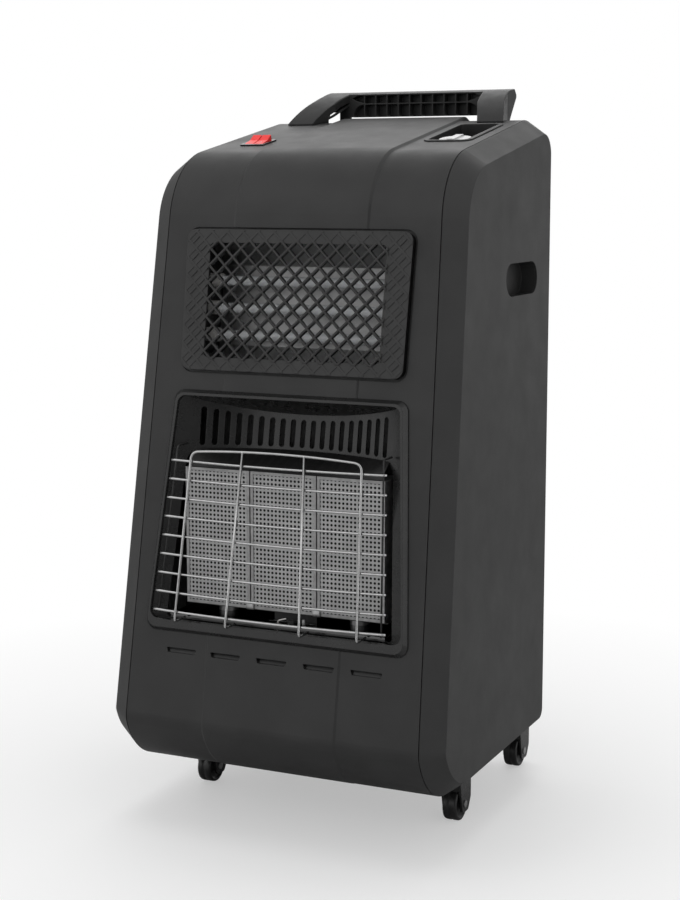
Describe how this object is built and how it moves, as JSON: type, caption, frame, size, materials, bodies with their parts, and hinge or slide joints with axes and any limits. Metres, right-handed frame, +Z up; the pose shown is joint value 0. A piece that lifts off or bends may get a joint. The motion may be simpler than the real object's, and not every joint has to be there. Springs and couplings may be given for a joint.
{
  "type": "portable gas cabinet heater",
  "caption": "Free-standing cabinet heater with an infra-red gas burner behind a wire guard, quartz tubes above it, a carry handle, side grips and swivel casters.",
  "frame": {"origin": "on the floor under the middle of the overall box", "axes": "+Z up, -Y towards the front with the burner and grille, +X to the right of a viewer facing the front"},
  "size_m": [0.4118, 0.4566, 0.843],
  "materials": {
    "cabinet_plastic": "fine-textured satin black",
    "handle_plastic": "satin black",
    "black_steel": "matt black paint",
    "bright_steel": "zinc-plated sheet",
    "grille_paint": "satin black paint",
    "reflector": "bright rolled sheet",
    "quartz": "frosted quartz",
    "element_wire": "oxidised resistance wire",
    "white_ceramic": "unglazed steatite",
    "gloss_black": "high-gloss black",
    "plaque_ceramic": "matt grey cordierite",
    "burner_steel": "dull aluminised sheet",
    "chromed_wire": "bright chrome",
    "knob_silver": "silver-coated moulding",
    "brass": "machined brass",
    "pipe_metal": "drawn tube",
    "rocker_red": "translucent red moulding",
    "black_plastic": "moulded nylon",
    "axle_steel": "plated rivet"
  },
  "bodies": {
    "cabinet": {"front_shell": "cabinet_plastic", "left_side_panel": "cabinet_plastic", "right_side_panel": "cabinet_plastic", "left_grip_cup": "cabinet_plastic", "right_grip_cup": "cabinet_plastic", "control_well": "cabinet_plastic", "carry_handle": "handle_plastic", "base_pan": "black_steel", "top_brace": "black_steel", "burner_chassis": "black_steel", "quartz_box": "black_steel", "burner_hood": "black_steel", "heat_shield": "bright_steel", "fixing_screws": "bright_steel", "quartz_grille": "grille_paint", "quartz_reflector": "reflector", "quartz_tubes": "quartz", "heating_elements": "element_wire", "tube_caps": "white_ceramic", "spark_electrode": "white_ceramic", "burner_bezel": "gloss_black", "reflecting_tray": "gloss_black", "rocker_bezel": "gloss_black", "rocker_housing": "gloss_black", "plaque_left": "plaque_ceramic", "plaque_middle": "plaque_ceramic", "plaque_right": "plaque_ceramic", "burner_box_left": "burner_steel", "burner_box_middle": "burner_steel", "burner_box_right": "burner_steel", "pilot_burner": "burner_steel", "wire_guard": "chromed_wire", "hose_tail": "brass", "injector_manifold": "brass", "gas_valve_body": "brass", "burner_pipe": "pipe_metal", "inlet_pipe": "pipe_metal", "thermocouple": "pipe_metal", "terminal_block": "black_plastic", "tilt_switch": "black_plastic", "cord_gland": "black_plastic", "caster_sockets": "black_plastic"},
    "back_cover": {"rear_cover": "black_steel"},
    "rocker_left": {"rocker_left": "rocker_red"},
    "rocker_right": {"rocker_right": "rocker_red"},
    "knob_push": {"knob_collar": "brass"},
    "knob": {"gas_knob": "knob_silver", "valve_spindle": "brass"},
    "fork_front_right": {"caster_fork_front_right": "black_plastic", "caster_axle_front_right": "axle_steel"},
    "wheel_front_right": {"caster_wheel_front_right": "black_plastic"},
    "fork_front_left": {"caster_fork_front_left": "black_plastic", "caster_axle_front_left": "axle_steel"},
    "wheel_front_left": {"caster_wheel_front_left": "black_plastic"},
    "fork_rear_right": {"caster_fork_rear_right": "black_plastic", "caster_axle_rear_right": "axle_steel"},
    "wheel_rear_right": {"caster_wheel_rear_right": "black_plastic"},
    "fork_rear_left": {"caster_fork_rear_left": "black_plastic", "caster_axle_rear_left": "axle_steel"},
    "wheel_rear_left": {"caster_wheel_rear_left": "black_plastic"}
  },
  "joints": [
    {"name": "cover_lift", "type": "slide", "parent": "cabinet", "child": "back_cover", "axis": [0, 0.0724, 0.9974], "range_m": [0, 0.01]},
    {"name": "rocker_left_tilt", "type": "hinge", "parent": "cabinet", "child": "rocker_left", "pos_m": [-0.1232, 0.00077, 0.77312], "axis": [-1, 0, 0], "range_deg": [0, 14]},
    {"name": "rocker_right_tilt", "type": "hinge", "parent": "cabinet", "child": "rocker_right", "pos_m": [-0.1108, 0.00077, 0.77312], "axis": [-1, 0, 0], "range_deg": [0, 14]},
    {"name": "knob_push", "type": "slide", "parent": "cabinet", "child": "knob_push", "axis": [0, 0.1831, -0.9831], "range_m": [0, 0.004], "stiffness_N_per_m": 900, "springref_m": -0.001},
    {"name": "knob_turn", "type": "hinge", "parent": "knob_push", "child": "knob", "pos_m": [0.1205, 0.03466, 0.76061], "axis": [0, -0.1831, 0.9831], "range_deg": [0, 270]},
    {"name": "swivel_front_right", "type": "hinge", "parent": "cabinet", "child": "fork_front_right", "pos_m": [0.1605, -0.067, 0.07], "axis": [0, 0, 1], "continuous": true},
    {"name": "spin_front_right", "type": "hinge", "parent": "fork_front_right", "child": "wheel_front_right", "pos_m": [0.1605, -0.053, 0.02], "axis": [1, 0, 0], "continuous": true},
    {"name": "swivel_front_left", "type": "hinge", "parent": "cabinet", "child": "fork_front_left", "pos_m": [-0.1605, -0.067, 0.07], "axis": [0, 0, 1], "continuous": true},
    {"name": "spin_front_left", "type": "hinge", "parent": "fork_front_left", "child": "wheel_front_left", "pos_m": [-0.1605, -0.053, 0.02], "axis": [1, 0, 0], "continuous": true},
    {"name": "swivel_rear_right", "type": "hinge", "parent": "cabinet", "child": "fork_rear_right", "pos_m": [0.1605, 0.1435, 0.07], "axis": [0, 0, 1], "continuous": true},
    {"name": "spin_rear_right", "type": "hinge", "parent": "fork_rear_right", "child": "wheel_rear_right", "pos_m": [0.1605, 0.1575, 0.02], "axis": [1, 0, 0], "continuous": true},
    {"name": "swivel_rear_left", "type": "hinge", "parent": "cabinet", "child": "fork_rear_left", "pos_m": [-0.1605, 0.1435, 0.07], "axis": [0, 0, 1], "continuous": true},
    {"name": "spin_rear_left", "type": "hinge", "parent": "fork_rear_left", "child": "wheel_rear_left", "pos_m": [-0.1605, 0.1575, 0.02], "axis": [1, 0, 0], "continuous": true}
  ]
}
